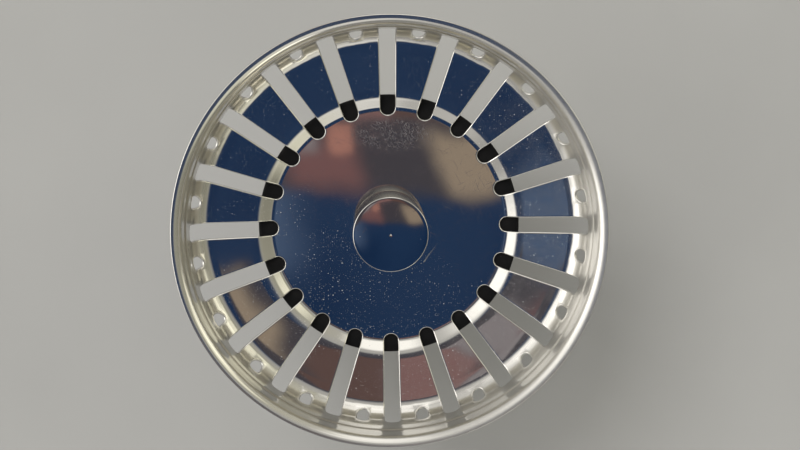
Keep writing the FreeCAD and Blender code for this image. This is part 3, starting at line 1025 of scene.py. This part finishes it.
def makeBall(name, node, body):
    low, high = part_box(node)
    middle = ballPlace(node)
    radius = (high.z - low.z) / 2
    deselectAll()
    bpy.ops.mesh.primitive_cube_add(size=radius, location=middle)
    piece = openPiece(name)
    bpy.ops.mesh.subdivide(number_cuts=ballSizes["cuts"])
    bpy.ops.transform.tosphere(value=1.0)
    shape = bmesh.from_edit_mesh(piece.data)
    for vert in shape.verts:
        vert.co = vert.co.normalized() * radius
    bmesh.update_edit_mesh(piece.data)
    closePiece()
    dressPiece(piece, body, [node], [springMaterial], smoothBelow=60)


makeBall("ball_left", "catch_ball_left", "catch_left")
makeBall("ball_right", "catch_ball_right", "catch_right")


# Catch spring: two half coils that meet at the axis, each squeezed by its own ball
springSizes = {"meanRadius": 1.3, "wire": 0.4, "turns": 4, "steps": 28, "sides": 12, "keep": 0.6}


def makeSpringHalf(name, side):
    size = springSizes
    low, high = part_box("catch_spring")
    middle = (low + high) / 2
    half = (high.x - low.x) / 2 - size["wire"] / 2 * mm
    deselectAll()
    bpy.ops.mesh.primitive_circle_add(vertices=size["sides"], radius=size["wire"] / 2 * mm,
                                      location=(0, 0, middle.z))
    piece = openPiece(name)
    bpy.ops.transform.translate(value=(0, size["meanRadius"] * mm, 0))
    bpy.ops.object.mode_set(mode="OBJECT")
    turns = size["turns"] / 2
    steps = round(size["steps"] * turns)
    useModifier(piece, "SCREW", axis="X", angle=side * 2 * math.pi * turns, screw_offset=side * half,
                steps=steps, render_steps=steps, use_merge_vertices=False)
    bpy.ops.object.mode_set(mode="EDIT")
    selectNone("EDGE")
    bpy.ops.mesh.select_non_manifold(extend=False, use_wire=False, use_multi_face=False,
                                     use_non_contiguous=False, use_verts=False)
    bpy.ops.mesh.edge_face_add()
    faceOutward()
    dressPiece(piece, "strainer", ["catch_spring"], [springMaterial], smoothBelow=45)
    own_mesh(piece)


makeSpringHalf("spring_left", -1)
makeSpringHalf("spring_right", 1)

# The O-ring's solid is right as it is and takes the rubber finish
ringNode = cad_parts["knob_o_ring"]
ringNode.data.materials.clear()
ringNode.data.materials.append(rubberMaterial)


# Stage: a pale floor, a soft lamp and a surround that the steel mirrors
floorSizes = {"radius": 2500.0, "height": -0.05}


def makeFloor():
    deselectAll()
    bpy.ops.mesh.primitive_circle_add(vertices=96, radius=floorSizes["radius"] * mm, fill_type="NGON",
                                      location=(0, 0, floorSizes["height"] * mm))
    floor = bpy.context.object
    floor.name = "floor"
    floor.data.materials.append(newMaterial("floor_paint", floorPaint))
    print("floor", floor.name)


makeFloor()

# Broad, even light: degrees west of north and above the floor, and its breadth
lamp = {"west": 38, "above": 46, "breadth": 30, "strength": 2.2, "colour": (1.0, 0.985, 0.96)}


def makeLamp():
    deselectAll()
    tip, turn = math.radians(90 - lamp["above"]), math.radians(lamp["west"] + 180)
    bpy.ops.object.light_add(type="SUN", location=(0, 0, 0.3), rotation=(-tip, 0, turn + math.pi))
    light = bpy.context.object
    light.name = "key"
    light.data.angle = math.radians(lamp["breadth"])
    light.data.energy = lamp["strength"]
    light.data.color = lamp["colour"]
    light.visible_glossy = False  # the steel mirrors the surround's soft windows instead
    print("lamp", light.name, [round(part, 2) for part in light.matrix_basis.col[2][:3]])


makeLamp()

# What the steel mirrors: a bright horizon with windows, dark and bluish overhead
surround = {
    "horizon": colour(0.80, 0.78, 0.735), "level": 0.60, "westward": 0.2, "northward": 0.25,
    "eastTone": colour(0.80, 0.77, 0.61), "eastFrom": (0.15, 0.6),
    "wobble": 0.035, "wobbleScale": 14.0, "cloudScale": 5.0,
    # where the dark and the cards begin, 0 at the horizon and 1 straight up
    "leastUp": 0.05, "shadeFrom": (0.3, 0.5), "cardsFrom": (0.80, 0.90),
    # the dark overhead, an oval in slopes east and north of straight up, with faint clouds
    "overhead": colour(0.010, 0.030, 0.085), "cloud": colour(0.017, 0.043, 0.108),
    "shade": {"east": -0.1, "north": -0.36, "wide": 0.62, "tall": 0.52, "soft": 0.5},
    # soft lights near the horizon: bearing from north, height and breadth in degrees
    "windows": [
        {"bearing": 280, "above": 40, "breadth": 26, "soft": 24, "gain": 1.2},
        {"bearing": 266, "above": 14, "breadth": 24, "soft": 14, "gain": 2.2},
        {"bearing": 5, "above": 50, "breadth": 13, "soft": 10, "gain": 1.0},
        {"bearing": 5, "above": 24, "breadth": 14, "soft": 12, "gain": 1.1},
        {"bearing": 64, "above": 36, "breadth": 13, "soft": 11, "gain": 0.9},
        {"bearing": 72, "above": 14, "breadth": 15, "soft": 12, "gain": 1.3},
        {"bearing": 154, "above": 40, "breadth": 19, "soft": 16, "gain": 0.75},
        {"bearing": 152, "above": 13, "breadth": 9, "soft": 7, "gain": 2.0},
        {"bearing": 195, "above": 38, "breadth": 14, "soft": 14, "gain": 0.3},
    ],
    # dull cards overhead, from slope to slope; some lean
    "cards": [
        {"east": (-0.20, -0.07), "north": (-0.20, -0.06), "soft": 0.06,
         "colour": colour(0.075, 0.118, 0.21)},
        {"east": (-0.20, 0.16), "north": (-0.118, 0.30), "soft": 0.022,
         "colour": colour(0.066, 0.060, 0.072)},
        {"east": (-0.10, -0.030), "north": (-0.114, -0.068), "soft": 0.028, "lean": 0.25,
         "colour": colour(0.21, 0.105, 0.105)},
        {"east": (-0.036, -0.0115), "north": (-0.077, -0.050), "soft": 0.010, "lean": -0.03,
         "colour": colour(0.46, 0.215, 0.17)},
        {"east": (0.043, 0.112), "north": (-0.114, -0.056), "soft": 0.022, "lean": 0.31,
         "colour": colour(0.35, 0.275, 0.205)},
        {"east": (-0.05, 0.024), "north": (-0.044, 0.05), "soft": 0.012,
         "colour": colour(0.26, 0.145, 0.14)},
        {"east": (0.024, 0.10), "north": (-0.044, 0.05), "soft": 0.012,
         "colour": colour(0.13, 0.078, 0.07)},
        {"east": (-0.10, -0.05), "north": (-0.076, 0.02), "soft": 0.014,
         "colour": colour(0.28, 0.25, 0.26)},
    ],
}


def makeSurround():
    world = bpy.data.worlds.new("surround")
    bpy.context.scene.world = world
    world.use_nodes = True
    finish = Finish(world.node_tree)
    way = finish.node("TexCoord", {}, {})["Generated"]
    x, y, z = finish.split(finish.node("VectorMath", {"operation": "NORMALIZE"}, {0: way})["Vector"])
    upward = z.maths("MAXIMUM", surround["leastUp"])
    wobble = (finish.noise(way, surround["wobbleScale"], detail=2.0) - 0.5) * surround["wobble"]
    east, north = x / upward + wobble, y / upward - wobble

    def between(value, limits, soft):
        low, high = limits
        return value.rise(low - soft / 2, low + soft / 2) * value.rise(high + soft / 2, high - soft / 2)

    shade = surround["shade"]
    across = (east - shade["east"]) / shade["wide"]
    along = (north - shade["north"]) / shade["tall"]
    dark = ((across * across + along * along) ** 0.5).rise(1 + shade["soft"] / 2, 1 - shade["soft"] / 2)
    dark = dark * z.rise(*surround["shadeFrom"])
    clouds = finish.noise(way, surround["cloudScale"], detail=3.0).rise(0.3, 0.7)
    overhead = finish.mixColour(clouds, surround["overhead"], surround["cloud"])
    around = finish.mixColour(x.rise(*surround["eastFrom"]), surround["horizon"], surround["eastTone"])
    light = finish.mixColour(dark, around, overhead)
    for card in surround["cards"]:
        leaned = east + north * card.get("lean", 0.0)
        over = between(leaned, card["east"], card["soft"]) * between(north, card["north"], card["soft"])
        light = finish.mixColour(over * dark * z.rise(*surround["cardsFrom"]), light, card["colour"])
    strength = surround["level"] - x * surround["westward"] + y * surround["northward"]
    for window in surround["windows"]:
        bearing, above = math.radians(window["bearing"]), math.radians(window["above"])
        facing = (x * (math.sin(bearing) * math.cos(above)) + y * (math.cos(bearing) * math.cos(above))
                  + z * math.sin(above))
        outer = math.cos(math.radians(window["breadth"] + window["soft"] / 2))
        inner = math.cos(math.radians(window["breadth"] - window["soft"] / 2))
        strength = strength + facing.rise(outer, inner) * window["gain"]
    strength = finish.node("Mix", {"data_type": "FLOAT"}, {0: dark, 2: strength, 3: 1.0})["Result"]
    background = finish.node("Background", {}, {"Color": light, "Strength": strength})["Background"]
    finish.node("OutputWorld", {}, {"Surface": background})
    print("surround", len(surround["windows"]), "windows")


makeSurround()

# Camera: its place is east, north and above the rim
cameraSettings = {
    "place": (-4.344, 28.765, 176.633), "turn": (-8.521, -1.876, 0.281),
    "lens": 45.0, "sensor": 36.0,
}


def makeCamera():
    deselectAll()
    x, y, aboveRim = cameraSettings["place"]
    bpy.ops.object.camera_add(location=(x * mm, y * mm, (rimZ + aboveRim) * mm),
                              rotation=[math.radians(angle) for angle in cameraSettings["turn"]])
    camera = bpy.context.object
    camera.data.lens = cameraSettings["lens"]
    camera.data.sensor_width = cameraSettings["sensor"]
    camera.data.sensor_fit = "HORIZONTAL"
    camera.data.clip_start = 5 * mm
    bpy.context.scene.camera = camera
    print("camera", [round(part, 4) for part in camera.location])


makeCamera()
bpy.context.scene.view_settings.view_transform = "Standard"
